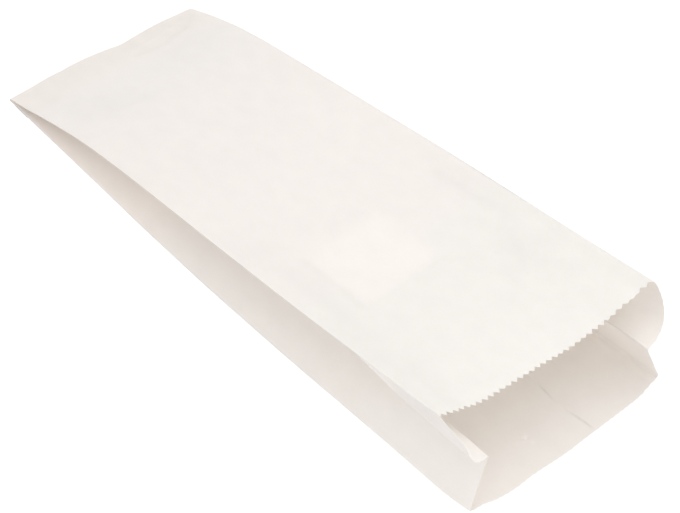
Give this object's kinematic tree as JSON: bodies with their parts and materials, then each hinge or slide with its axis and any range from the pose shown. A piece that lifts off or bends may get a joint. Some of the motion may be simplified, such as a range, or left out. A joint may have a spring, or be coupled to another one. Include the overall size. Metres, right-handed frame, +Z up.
{
  "type": "paper bag",
  "caption": "Plain white paper food bag with side gussets, lying on its back panel, open at a toothed mouth and glued shut at the other end.",
  "frame": {"origin": "centre of the bag's footprint, on the surface it lies on", "axes": "+Y along the bag from the open mouth to the closed end, +Z up out of the front panel, +X across the bag"},
  "size_m": [0.127, 0.35, 0.0588],
  "materials": {
    "paper": "matte, faintly fibrous"
  },
  "bodies": {
    "root": {"bag": "paper"}
  },
  "joints": []
}
